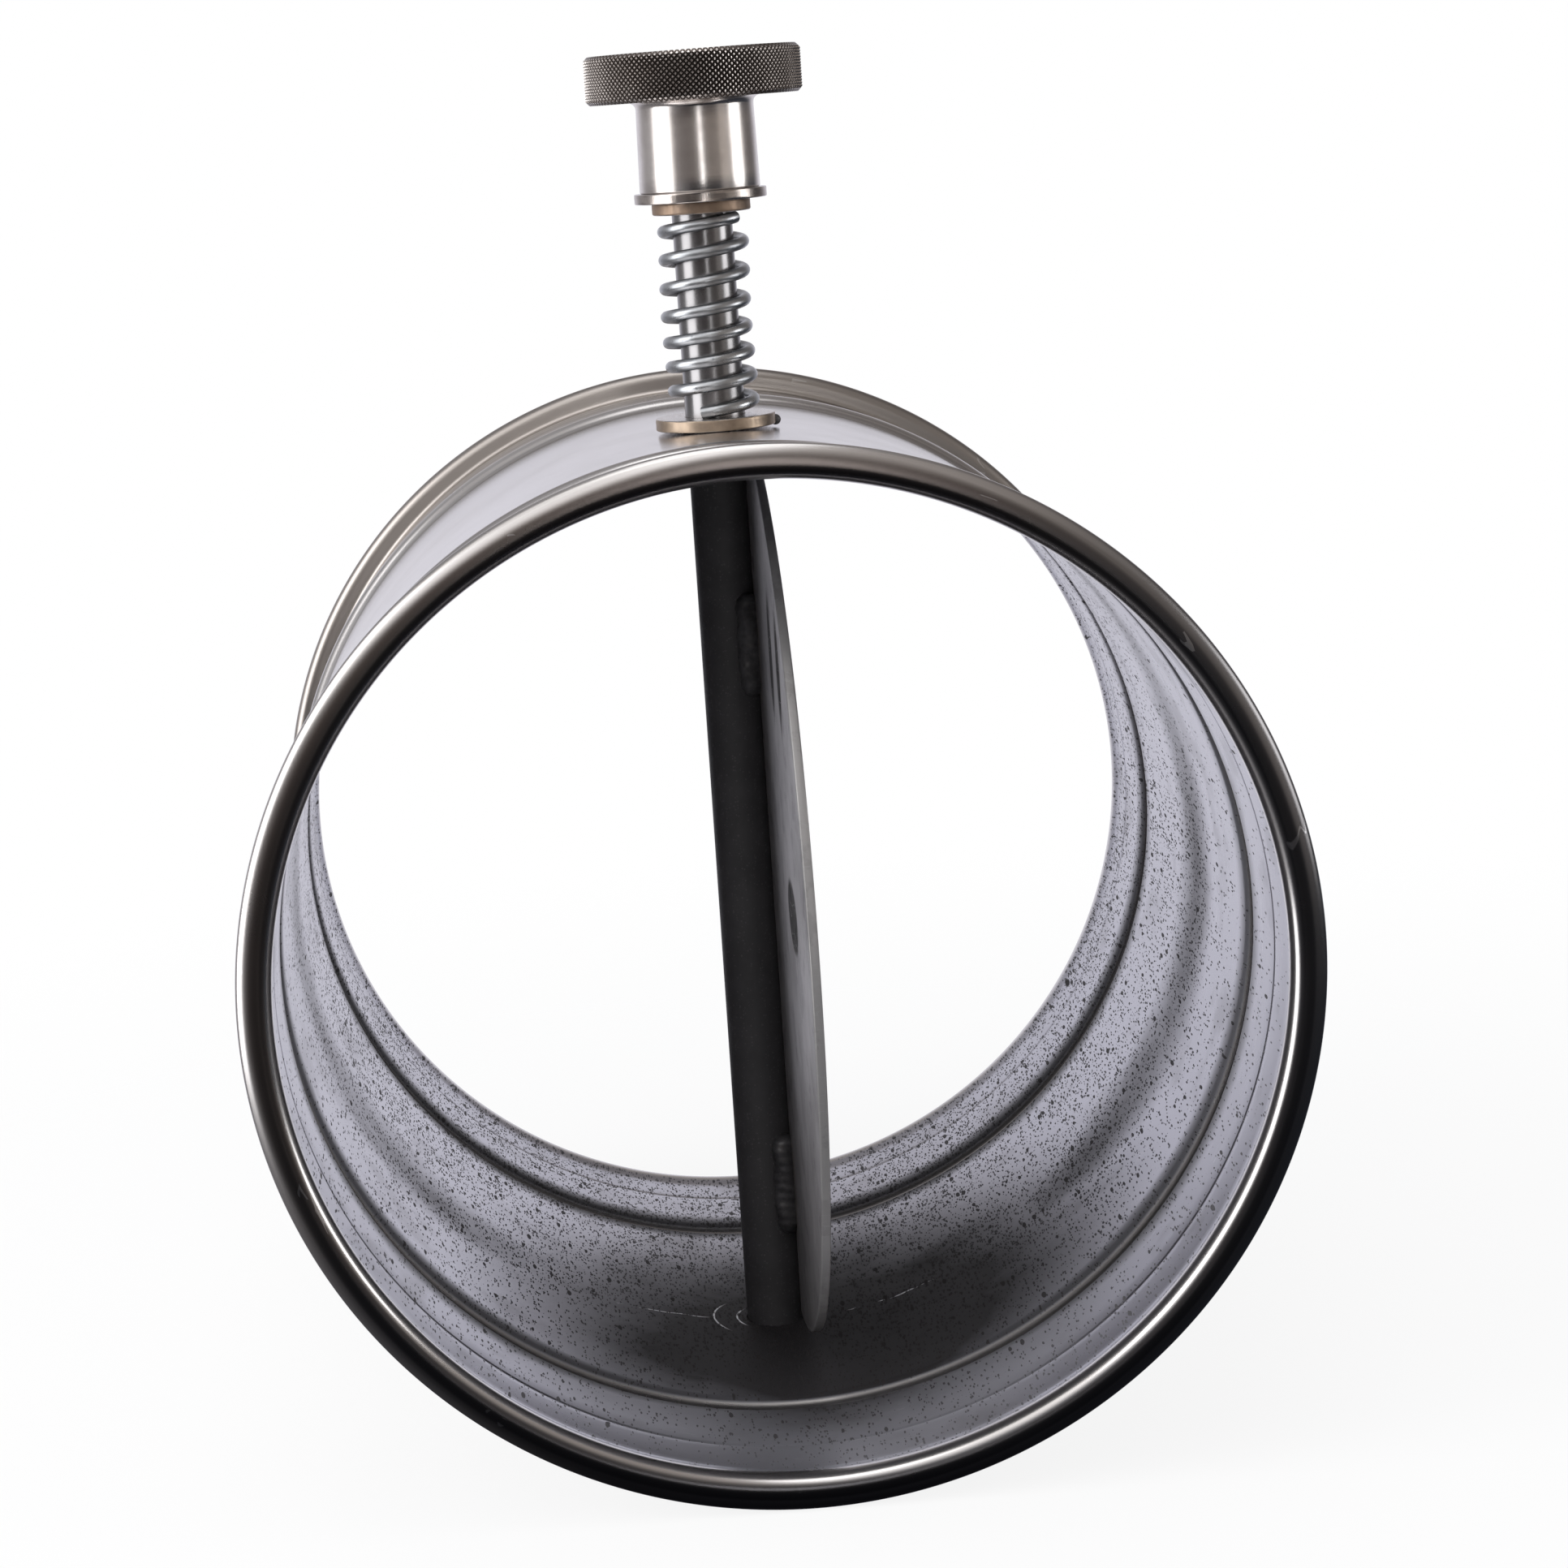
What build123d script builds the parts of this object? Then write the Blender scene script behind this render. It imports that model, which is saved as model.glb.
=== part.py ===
from build123d import *
import math
import os

# Volume control damper: a short lipped duct with a turning blade, held by a spring and a knurled nut.
# Millimetres. +Z is up along the shaft, and the duct runs along Y. The origin is the middle of the
# duct's length and width, at the lowest point of the lips on which the damper stands.

# ---- duct body
duct_length = 160.0
duct_bore = 154.0
duct_wall = 1.0
lip_height = 4.0  # lip above the outside of the wall
lip_thickness = 3.6
lip_root_radius = 0.9
mouth_length = 12.0  # the bore opens out slightly over this length before each end
mouth_angle = 2.5
mouth_edge_radius = 2.4
rib_from_end = 34.0  # from the end of the duct to the middle of a swaged rib
rib_width = 7.0
rib_height = 1.5

# ---- shaft
shaft_diameter = 10.0
shaft_from_middle = -4.0  # the shaft stands a little nearer the front end
shaft_hole_clearance = 0.2
running_clearance = 0.05
shaft_chamfer = 0.4
flat_depth = 0.8  # flat on the shaft that carries the blade
flat_overrun = 0.6

# ---- blade and its welds
blade_thickness = 1.5
blade_edge_gap = 1.2
blade_edge_radius = 0.3
bead_radius = 2.4
bead_length = 17.5
bead_from_axis = 5.2  # from the shaft's axis to the middle of a bead
upper_bead_height = 41.5  # above the duct's axis
lower_bead_height = -52.0

# ---- pad, spring and washers on top of the duct
pad_diameter = 20.0
pad_thickness = 2.0
side_tack_radius = 0.9
rear_tack_radius = 1.4
spring_outside = 15.2
spring_wire = 2.0
spring_pitch = 4.4
spring_length = 33.7
spring_start_angle = -112.0
seat_diameter = 16.4
seat_thickness = 2.0
clamp_diameter = 22.0
clamp_thickness = 1.7
washer_clearance = 0.1
washer_edge_radius = 0.3

# ---- knurled nut
head_diameter = 36.0
head_thickness = 8.0
head_chamfer = 0.8
collar_diameter = 20.0
collar_height = 15.0
collar_chamfer = 0.4
neck_radius = 1.2
bore_chamfer = 0.9
thread_clearance = 0.05
shaft_below_nut_top = 2.0

# ---- washer and clip that hold the shaft from below
foot_washer_diameter = 18.0
foot_washer_thickness = 0.8
clip_outside = 15.0
clip_thickness = 1.0
clip_groove_depth = 0.6
clip_mouth = 7.0
shaft_tail = 1.0  # shaft left below the clip

# ---- worked out from the sizes above
bore_radius = duct_bore / 2
wall_radius = bore_radius + duct_wall
lip_radius = wall_radius + lip_height
half_length = duct_length / 2
axis_height = lip_radius
shaft_radius = shaft_diameter / 2
duct_top = axis_height + wall_radius
duct_bottom = axis_height - wall_radius
pad_top = duct_top + pad_thickness
spring_top = pad_top + spring_length
seat_top = spring_top + seat_thickness
nut_bottom = seat_top + clamp_thickness
nut_top = nut_bottom + collar_height + head_thickness
shaft_top = nut_top - shaft_below_nut_top
foot_washer_bottom = duct_bottom - running_clearance - foot_washer_thickness
clip_bottom = foot_washer_bottom - clip_thickness
shaft_bottom = clip_bottom - shaft_tail
groove_radius = shaft_radius - clip_groove_depth
blade_radius = bore_radius - blade_edge_gap
flat_face = shaft_radius - flat_depth
UPRIGHT = (Align.CENTER, Align.CENTER, Align.MIN)


def on_shaft(piece, height=0.0):
    """Moves a piece that was made about the origin onto the shaft's axis, with its base at a height."""
    return Pos(0, shaft_from_middle, height) * piece


def rib_edges(radius):
    """The front rib at one face of the wall, from its inner side to the end side: three tangent arcs."""
    middle = rib_from_end - half_length
    reach = rib_width / 2
    near = (radius, middle + reach)
    near_bend = (radius + rib_height / 2, middle + reach / 2)
    crest = (radius + rib_height, middle)
    far_bend = (radius + rib_height / 2, middle - reach / 2)
    far = (radius, middle - reach)
    return [
        TangentArc(near, near_bend, tangent=(0, -1)),
        ThreePointArc(near_bend, crest, far_bend),
        TangentArc(far, far_bend, tangent=(0, 1)),
    ]


def duct_shell():
    """A rolled tube with two outward ribs, whose ends open gently and turn out into thick, rounded lips.

    The section of the front half is drawn with X as the distance from the duct's axis, mirrored, and
    turned about Y."""
    turn = math.radians(mouth_angle)
    flare_rise = mouth_length / math.sin(turn) * (1 - math.cos(turn))
    flare_end = (bore_radius + flare_rise, mouth_edge_radius * (1 - math.sin(turn)) - half_length)
    flare_start = (bore_radius, flare_end[1] + mouth_length)
    face_start = (flare_end[0] + mouth_edge_radius * math.cos(turn), -half_length)
    face_end = (lip_radius - lip_thickness / 2, -half_length)
    lip_crest = (lip_radius, lip_thickness / 2 - half_length)
    flank_top = (face_end[0], lip_thickness - half_length)
    flank_foot = (wall_radius + lip_root_radius, flank_top[1])
    root = (wall_radius, flank_top[1] + lip_root_radius)
    rib_near = rib_from_end - half_length + rib_width / 2
    rib_far = rib_near - rib_width
    outline = [
        Line((bore_radius, 0), (bore_radius, rib_near)),
        *rib_edges(bore_radius),
        Line((bore_radius, rib_far), flare_start),
        TangentArc(flare_start, flare_end, tangent=(0, -1)),
        TangentArc(face_start, flare_end, tangent=(-1, 0)),
        Line(face_start, face_end),
        ThreePointArc(face_end, lip_crest, flank_top),
        Line(flank_top, flank_foot),
        TangentArc(root, flank_foot, tangent=(0, -1)),
        Line(root, (wall_radius, rib_far)),
        *rib_edges(wall_radius),
        Line((wall_radius, rib_near), (wall_radius, 0)),
        Line((wall_radius, 0), (bore_radius, 0)),
    ]
    front_half = revolve(make_face(Wire(outline)), Axis.Y)
    tube = Pos(0, 0, axis_height) * (front_half + mirror(front_half, Plane.XZ))
    hole = Cylinder(shaft_radius + shaft_hole_clearance, 2 * lip_radius, align=UPRIGHT)
    return tube - on_shaft(hole)


def washer(outer_diameter, inner_diameter, thickness):
    """A flat washer with softly broken outer edges, lying on the ground plane."""
    disc = Cylinder(outer_diameter / 2, thickness, align=UPRIGHT)
    disc = fillet(disc.edges().filter_by(GeomType.CIRCLE), min(washer_edge_radius, thickness / 4))
    return disc - Cylinder(inner_diameter / 2, thickness, align=UPRIGHT)


def pad_washer():
    """The thick washer on top of the duct, which guides the shaft and carries the spring."""
    ring = washer(pad_diameter, shaft_diameter + 2 * running_clearance, pad_thickness)
    return on_shaft(ring, duct_top)


def pad_tack(direction, radius, duct, pad):
    """A small weld that holds the pad's edge to the duct's curved top, at an angle from +X."""
    blob = Rot(0, 0, direction) * Pos(pad_diameter / 2, 0, pad_thickness / 4) * Sphere(radius)
    return on_shaft(blob, duct_top) - duct - pad


def shaft():
    """The round bar through the duct, with a flat for the blade and a groove for the clip."""
    bar = Cylinder(shaft_radius, shaft_top - shaft_bottom, align=UPRIGHT)
    bar = chamfer(bar.edges().filter_by(GeomType.CIRCLE), shaft_chamfer)
    bar = Pos(0, 0, shaft_bottom) * bar
    flat = Pos(flat_face, 0, axis_height) * Box(
        shaft_diameter,
        2 * shaft_diameter,
        2 * (blade_radius + flat_overrun),
        align=(Align.MIN, Align.CENTER, Align.CENTER),
    )
    collar = Cylinder(shaft_diameter, clip_thickness, align=UPRIGHT)
    core = Cylinder(groove_radius, clip_thickness, align=UPRIGHT)
    return on_shaft(bar - flat - Pos(0, 0, clip_bottom) * (collar - core))


def blade():
    """The round sheet that closes the bore, lying on the shaft's flat with its face to +X at rest."""
    disc = Cylinder(blade_radius, blade_thickness, align=UPRIGHT)
    disc = fillet(disc.edges().filter_by(GeomType.CIRCLE), blade_edge_radius)
    return on_shaft(Pos(flat_face, 0, 0) * Rot(0, 90, 0) * disc, axis_height)


def weld_bead(height, side, bar, sheet):
    """A weld in the corner between the shaft and the blade, on the front (-1) or rear (1) of the shaft."""
    middle = bead_length / 2 - bead_radius
    across = bead_from_axis * math.sin(math.acos((flat_face - bead_radius / 2) / bead_from_axis))
    run = Cylinder(bead_radius, 2 * middle)
    ends = Pos(0, 0, middle) * Sphere(bead_radius) + Pos(0, 0, -middle) * Sphere(bead_radius)
    bead = Pos(flat_face - bead_radius / 2, side * across, 0) * (run + ends)
    return on_shaft(bead, axis_height + height) - bar - sheet


def foot_washer():
    """The thin washer under the duct, between it and the clip."""
    ring = washer(foot_washer_diameter, shaft_diameter + 2 * washer_clearance, foot_washer_thickness)
    return on_shaft(ring, foot_washer_bottom)


def retaining_clip():
    """An open clip in the shaft's groove, which stops the spring from pulling the shaft up."""
    ring = Cylinder(clip_outside / 2, clip_thickness, align=UPRIGHT)
    ring -= Cylinder(groove_radius, clip_thickness, align=UPRIGHT)
    mouth = Box(clip_mouth, clip_outside, clip_thickness, align=(Align.CENTER, Align.MIN, Align.MIN))
    return on_shaft(ring - mouth, clip_bottom)


def spring():
    """An open-ended compression spring: round wire in a right-hand helix, cut square at both ends."""
    coil_radius = (spring_outside - spring_wire) / 2
    helix = Helix(spring_pitch, spring_length - spring_wire, coil_radius)
    section = Plane(origin=helix @ 0, z_dir=helix % 0) * Circle(spring_wire / 2)
    coil = sweep(section, path=helix, is_frenet=True)
    return on_shaft(Rot(0, 0, spring_start_angle) * coil, pad_top + spring_wire / 2)


def spring_seat():
    """The small thick washer on top of the spring."""
    ring = washer(seat_diameter, shaft_diameter + 2 * washer_clearance, seat_thickness)
    return on_shaft(ring, spring_top)


def clamp_washer():
    """The wider washer between the spring's seat and the nut."""
    ring = washer(clamp_diameter, shaft_diameter + 2 * washer_clearance, clamp_thickness)
    return on_shaft(ring, seat_top)


def knurled_nut():
    """A high nut for the fingers: a wide head on a plain collar, turned in one piece about Z."""
    head_radius = head_diameter / 2
    collar_radius = collar_diameter / 2
    hole_radius = shaft_radius + thread_clearance
    top = collar_height + head_thickness
    outline = [
        Line((hole_radius + bore_chamfer, 0), (collar_radius - collar_chamfer, 0)),
        Line((collar_radius - collar_chamfer, 0), (collar_radius, collar_chamfer)),
        Line((collar_radius, collar_chamfer), (collar_radius, collar_height - neck_radius)),
        RadiusArc(
            (collar_radius, collar_height - neck_radius),
            (collar_radius + neck_radius, collar_height),
            neck_radius,
        ),
        Line((collar_radius + neck_radius, collar_height), (head_radius - head_chamfer, collar_height)),
        Line((head_radius - head_chamfer, collar_height), (head_radius, collar_height + head_chamfer)),
        Line((head_radius, collar_height + head_chamfer), (head_radius, top - head_chamfer)),
        Line((head_radius, top - head_chamfer), (head_radius - head_chamfer, top)),
        Line((head_radius - head_chamfer, top), (hole_radius + bore_chamfer, top)),
        Line((hole_radius + bore_chamfer, top), (hole_radius, top - bore_chamfer)),
        Line((hole_radius, top - bore_chamfer), (hole_radius, bore_chamfer)),
        Line((hole_radius, bore_chamfer), (hole_radius + bore_chamfer, 0)),
    ]
    section = Plane.XZ * make_face(Wire(outline))
    return on_shaft(revolve(section, Axis.Z), nut_bottom)


def build():
    """Every piece by its node's name."""
    duct = duct_shell()
    pad = pad_washer()
    bar = shaft()
    sheet = blade()
    return {
        "duct_shell": duct,
        "pad_washer": pad,
        "pad_tack_right": pad_tack(0, side_tack_radius, duct, pad),
        "pad_tack_rear": pad_tack(90, rear_tack_radius, duct, pad),
        "shaft": bar,
        "blade": sheet,
        "weld_front_upper": weld_bead(upper_bead_height, -1, bar, sheet),
        "weld_front_lower": weld_bead(lower_bead_height, -1, bar, sheet),
        "weld_rear_upper": weld_bead(upper_bead_height, 1, bar, sheet),
        "weld_rear_lower": weld_bead(lower_bead_height, 1, bar, sheet),
        "foot_washer": foot_washer(),
        "retaining_clip": retaining_clip(),
        "spring": spring(),
        "spring_seat": spring_seat(),
        "clamp_washer": clamp_washer(),
        "knurled_nut": knurled_nut(),
    }


os.makedirs("parts", exist_ok=True)
for name, piece in build().items():
    export_step(piece, f"parts/{name}.step")
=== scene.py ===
import math

import bmesh
import bpy
import numpy as np
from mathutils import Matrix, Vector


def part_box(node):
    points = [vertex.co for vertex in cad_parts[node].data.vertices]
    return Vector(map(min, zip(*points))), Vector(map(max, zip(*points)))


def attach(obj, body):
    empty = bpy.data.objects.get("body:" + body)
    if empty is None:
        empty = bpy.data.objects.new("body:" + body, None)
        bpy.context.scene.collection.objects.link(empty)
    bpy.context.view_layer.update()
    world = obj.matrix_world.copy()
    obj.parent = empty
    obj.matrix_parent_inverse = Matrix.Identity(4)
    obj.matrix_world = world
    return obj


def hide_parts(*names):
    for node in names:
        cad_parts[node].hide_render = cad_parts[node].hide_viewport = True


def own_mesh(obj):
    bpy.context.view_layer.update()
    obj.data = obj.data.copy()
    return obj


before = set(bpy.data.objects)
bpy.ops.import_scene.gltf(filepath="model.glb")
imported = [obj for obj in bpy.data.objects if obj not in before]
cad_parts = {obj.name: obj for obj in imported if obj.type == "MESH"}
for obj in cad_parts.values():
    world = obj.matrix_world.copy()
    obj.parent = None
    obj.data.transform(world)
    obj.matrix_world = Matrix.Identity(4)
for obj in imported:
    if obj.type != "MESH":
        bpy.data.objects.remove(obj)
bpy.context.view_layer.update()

# Volume control damper: the pieces that need more shape than the plain model, their finishes, and a
# plain studio. Metres throughout. The duct runs along Y, and the shaft stands along Z.

MM = 0.001

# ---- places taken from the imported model
duct_low, duct_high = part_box("duct_shell")
shaft_low, shaft_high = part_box("shaft")
blade_low, blade_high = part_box("blade")
spring_low, spring_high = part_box("spring")
nut_low, nut_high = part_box("knurled_nut")

half_length = (duct_high[1] - duct_low[1]) / 2
lip_radius = (duct_high[0] - duct_low[0]) / 2
axis_height = (duct_high[2] + duct_low[2]) / 2
shaft_y = (nut_high[1] + nut_low[1]) / 2
shaft_radius = (shaft_high[0] - shaft_low[0]) / 2

# ---- duct
lip_height = 4 * MM
lip_thickness = 3.6 * MM
lip_root_radius = 0.9 * MM
lip_shoulder = 3.3 * MM
bead_inside = 0.5 * MM
bead_crest = 2.6 * MM
neck_from_end = 6.5 * MM
wall = 1.0 * MM
mouth_length = 12 * MM
mouth_turn = math.radians(2.5)
mouth_edge_radius = 2.4 * MM
roll_groove_width = 1.4 * MM
roll_groove_depth = 0.12 * MM
rib_from_end = 34 * MM
rib_width = 7 * MM
rib_height = 1.5 * MM
shaft_hole_radius = shaft_radius + 0.2 * MM
wall_radius = lip_radius - lip_height
bore_radius = wall_radius - wall
bore_bottom = axis_height - bore_radius
around_duct = 400
hole_rows_reach = 7 * MM
ripple = 0.02 * MM

# ---- marks on the steel: the band of dust and painted shade, the painted shade and scratches at the foot, stains on the blade as (y, z)
band_middle = shaft_y + 1 * MM
band_reach = 17 * MM
foot_shade_reach = 72 * MM
scratch_radii = (6.8 * MM, 10.8 * MM)
stain_place = (-50 * MM, 86 * MM)
stroke_places = ((-38 * MM, 126 * MM), (-52 * MM, 125 * MM))

# ---- shaft and blade
flat_face = blade_low[0]
blade_radius = (blade_high[2] - blade_low[2]) / 2
thread_pitch = 1.5 * MM
thread_depth = 0.85 * MM
thread_length = 21 * MM
clip_groove_depth = 0.6 * MM
weld_nodes = ("weld_front_upper", "weld_front_lower", "weld_rear_upper", "weld_rear_lower")

# ---- spring
wire_radius = 1.0 * MM
spring_pitch = 4.4 * MM
spring_rise = 31.7 * MM
spring_turns = spring_rise / spring_pitch
spring_start = math.radians(-112)

# ---- nut
head_radius = (nut_high[0] - nut_low[0]) / 2
head_thickness = 8 * MM
collar_radius = 10 * MM
collar_top_radius = 9.75 * MM
knurl_count = 120
knurl_depth = 0.42 * MM
knurl_half = 3


# ---- shapes
def oval(centre, across, along, start, end, steps):
    """Points on an ellipse in a profile's plane: centre + (across cos a, along sin a), a in degrees."""
    a = np.radians(np.linspace(start, end, steps))
    return np.stack([centre[0] + across * np.cos(a), centre[1] + along * np.sin(a)], -1)


def arc(centre, radius, start, end, steps):
    """Points on a circle in a profile's plane, as for an oval."""
    return oval(centre, radius, radius, start, end, steps)


def line(start, end, steps):
    """Evenly spaced points from start to end, without the end."""
    t = np.linspace(0, 1, steps, endpoint=False)[:, None]
    return np.asarray(start) * (1 - t) + np.asarray(end) * t


def around(columns):
    """The angles of the columns of a turned surface."""
    return np.linspace(0, 2 * np.pi, columns, endpoint=False)[None, :]


def swept(profile, columns):
    """Three grids for a profile carried round an axis: its two coordinates, and the angle."""
    first, second = (np.repeat(profile[:, k : k + 1], columns, axis=1) for k in (0, 1))
    return first, second, np.repeat(around(columns), len(profile), axis=0)


def grid_quads(rows, columns, close_rows=False):
    """The quads of a grid of points numbered row by row. The columns always close on themselves."""
    i = np.arange(rows if close_rows else rows - 1)
    i, j = np.meshgrid(i, np.arange(columns), indexing="ij")
    below, beside = (i + 1) % rows, (j + 1) % columns
    corners = [i * columns + j, i * columns + beside, below * columns + beside, below * columns + j]
    return np.stack([c.ravel() for c in corners], -1)


def capped(points, low_middle, high_middle):
    """A grid of points whose first and last rows are closed by fans: (points, faces)."""
    rows, columns = points.shape[:2]
    ring = np.arange(columns)
    after = (ring + 1) % columns
    last = (rows - 1) * columns
    middle = np.full(columns, rows * columns)
    fans = np.stack([ring, after, middle], -1), np.stack([ring + last, after + last, middle + 1], -1)
    faces = [f for part in (grid_quads(rows, columns), *fans) for f in part.tolist()]
    return np.concatenate([points.reshape(-1, 3), [low_middle, high_middle]]), faces


def piece(name, points, faces, material, body, node, smooth_to=32, attributes=None):
    """A mesh object from a point array and faces, smooth except across edges sharper than smooth_to
    degrees, riding on its body in place of its CAD node."""
    mesh = bpy.data.meshes.new(name)
    mesh.from_pydata(np.asarray(points).reshape(-1, 3).tolist(), [], [list(map(int, f)) for f in faces])
    for label, values in (attributes or {}).items():
        store = mesh.attributes.new(label, "FLOAT", "POINT")
        store.data.foreach_set("value", np.asarray(values, dtype=np.float32).ravel())
    work = bmesh.new()
    work.from_mesh(mesh)
    bmesh.ops.recalc_face_normals(work, faces=work.faces)
    work.to_mesh(mesh)
    work.free()
    mesh.shade_smooth()
    mesh.set_sharp_from_angle(angle=math.radians(smooth_to))
    mesh.materials.append(material)
    made = bpy.data.objects.new(name, mesh)
    bpy.context.scene.collection.objects.link(made)
    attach(made, body)
    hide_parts(node)
    return made


def washer(name, node, body, hole_radius, edge, burr, material):
    """A flat ring in its node's box, as a closed profile of (radius, height) carried round the shaft's
    axis: it has a rounded outer edge and a small break at the hole. Towards its rim, the radius falls by
    a burr that follows two slow waves round the edge, so it stays inside the box."""
    low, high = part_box(node)
    outer = (high[0] - low[0]) / 2
    bottom, top = low[2], high[2]
    chamfer = 0.15 * MM
    profile = np.concatenate(
        [
            line((hole_radius, top - chamfer), (hole_radius, bottom + chamfer), 2),
            line((hole_radius, bottom + chamfer), (hole_radius + chamfer, bottom), 1),
            line((hole_radius + chamfer, bottom), (outer - edge, bottom), 3),
            arc((outer - edge, bottom + edge), edge, -90, 0, 6)[:-1],
            line((outer, bottom + edge), (outer, top - edge), 4),
            arc((outer - edge, top - edge), edge, 0, 90, 6),
            line((outer - edge, top), (hole_radius + chamfer, top), 3)[1:],
            line((hole_radius + chamfer, top), (hole_radius, top - chamfer), 1),
        ]
    )
    columns = 160
    r, h, a = swept(profile, columns)
    share = np.clip((r - hole_radius) / (outer - hole_radius), 0, 1) ** 4
    r = r - share * burr * (1 + 0.5 * np.sin(3 * a + 1) + 0.5 * np.sin(7 * a + 40 * h / MM))
    points = np.stack([r * np.cos(a), r * np.sin(a) + shaft_y, h], -1)
    ring = piece(name, points, grid_quads(len(profile), columns, close_rows=True), material, body, node)


# ---- finishes
class Wire:
    """One output of a node. Sums on wires add Math nodes, or Vector Math nodes for vectors and
    colours."""

    def __init__(self, node, output=0):
        self.socket = node.outputs[output]
        self.tree = node.id_data

    def into(self, kind, sockets, output=0, **settings):
        """The output of a new node in the same tree."""
        return Wire(add(self.tree, kind, sockets, **settings), output)

    def calc(self, operation, *others, output=0):
        """The result of a Math node whose first value is this wire."""
        kind = "ShaderNodeMath" if self.socket.type == "VALUE" else "ShaderNodeVectorMath"
        return self.into(kind, dict(enumerate((self, *others))), output, operation=operation)

    def __add__(self, other):
        return self.calc("ADD", other)

    def __sub__(self, other):
        return self.calc("SUBTRACT", other)

    def __rsub__(self, other):
        return self.into("ShaderNodeMath", {0: other, 1: self}, operation="SUBTRACT")

    def __mul__(self, other):
        return self.calc("MULTIPLY", other)

    def __abs__(self):
        return self.calc("ABSOLUTE")

    def most(self, other):
        """The larger of two values."""
        return self.calc("MAXIMUM", other)

    def under(self, limit):
        """1 where the value is under a limit."""
        return self.calc("LESS_THAN", limit)

    def length(self):
        """A vector's length."""
        return self.calc("LENGTH", output="Value")

    def clipped(self):
        """The same value kept between 0 and 1."""
        self.socket.node.use_clamp = True
        return self

    def parts(self):
        """The three parts of a vector or a colour."""
        kind = "ShaderNodeSeparateColor" if self.socket.type == "RGBA" else "ShaderNodeSeparateXYZ"
        apart = add(self.tree, kind, {0: self})
        return [Wire(apart, k) for k in range(3)]

    def ramp(self, low, high, to_low=0.0, to_high=1.0):
        """A smooth step of the value from low to high."""
        sockets = {"Value": self, "From Min": low, "From Max": high, "To Min": to_low, "To Max": to_high}
        return self.into("ShaderNodeMapRange", sockets, "Result", interpolation_type="SMOOTHSTEP")

    def blend(self, first, second):
        """A colour: the first where this mask is 0, and the second where it is 1."""
        return self.into("ShaderNodeMix", {"Factor": self, 6: first, 7: second}, 2, data_type="RGBA")

    def noise(self, scale, detail, output="Fac", **more):
        """Noise over this vector, with any other inputs of the texture given as words."""
        sockets = {"Vector": self, "Scale": scale, "Detail": detail, **more}
        return self.into("ShaderNodeTexNoise", sockets, output)


def put(tree, socket, value):
    """Links a wire to an input, or sets the input to a plain value."""
    if isinstance(value, Wire):
        tree.links.new(value.socket, socket)
    elif socket.type == "RGBA":
        socket.default_value = (*value[:3], 1)
    else:
        socket.default_value = value


def add(tree, kind, sockets=None, **settings):
    """Adds a node, sets its properties, and sets or links its sockets."""
    made = tree.nodes.new(kind)
    for key, value in settings.items():
        setattr(made, key, value)
    for key, value in (sockets or {}).items():
        put(tree, made.inputs[key], value)
    return made


def effect(output, **inputs):
    """Turns a function of wires into a node group of the same name, with these inputs and their values.
    What takes the function's place lays the group on its first wire, with the other inputs given as
    words."""

    def wrap(build):
        tree = bpy.data.node_groups.new(build.__name__, "ShaderNodeTree")
        for label, value in inputs.items():
            size = len(value) if isinstance(value, tuple) else 1
            kind = {1: "NodeSocketFloat", 3: "NodeSocketVector", 4: "NodeSocketColor"}[size]
            tree.interface.new_socket(label, in_out="INPUT", socket_type=kind).default_value = value
        given = tree.nodes.new("NodeGroupInput")
        result = build(*[Wire(given, label) for label in inputs])
        kind = "NodeSocketColor" if result.socket.type == "RGBA" else "NodeSocketFloat"
        tree.interface.new_socket(output, in_out="OUTPUT", socket_type=kind)
        tree.links.new(result.socket, tree.nodes.new("NodeGroupOutput").inputs[0])

        def lay(first, **others):
            return first.into("ShaderNodeGroup", {0: first, **others}, node_tree=tree)

        return lay

    return wrap


@effect("Mask", Vector=(0, 0, 0), Scale=900.0, Amount=0.3, Size=0.35)
def speckle(vector, scale, amount, size):
    """Round grains of dust or spatter: cells whose distance to the middle is under a size drawn for each
    cell, thinned by a share that may change over the surface."""
    bend = vector.noise(2500.0, 1.0, "Color") * (0.00015, 0.00015, 0.00015)
    cells = add(vector.tree, "ShaderNodeTexVoronoi", {"Vector": bend + vector, "Scale": scale})
    drawn = Wire(cells, "Color").parts()
    dot = (drawn[0] * size - Wire(cells, "Distance")).ramp(0.0, 0.08)
    return dot * drawn[1].under(amount)


@effect("Mask", Vector=(0, 0, 0), Scale=40.0, Low=0.4, High=0.6)
def cloud(vector, scale, low, high):
    """Soft patches, such as handling marks: noise taken between two levels."""
    return vector.noise(scale, 5.0, Roughness=0.6).ramp(low, high)


@effect("Height", Vector=(0, 0, 0), Across=3000.0, Along=3000.0, Around=1.0)
def turning(vector, across, along, around):
    """Fine rings left by a lathe or a polishing wheel: noise over the distance from an upright axis and
    the height, so it is the same all round."""
    x, y, z = vector.parts()
    radius = (x * x + y * y).calc("SQRT") * across
    angle = y.calc("ARCTAN2", x).calc("SINE") * around
    return vector.into("ShaderNodeCombineXYZ", {0: radius, 1: z * along, 2: angle}).noise(1.0, 3.0)


@effect("Mask", Vector=(0, 0, 0), Stretch=(30.0, 30.0, 400.0), Width=0.012, Amount=0.5)
def scratches(vector, stretch, width, amount):
    """Thin stray scratches: the narrow zero lines of noise stretched one way, kept only in patches."""
    thin = abs((vector * stretch).noise(1.0, 2.0) - 0.5).under(width)
    return thin * vector.noise(120.0, 1.0).under(amount)


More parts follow.
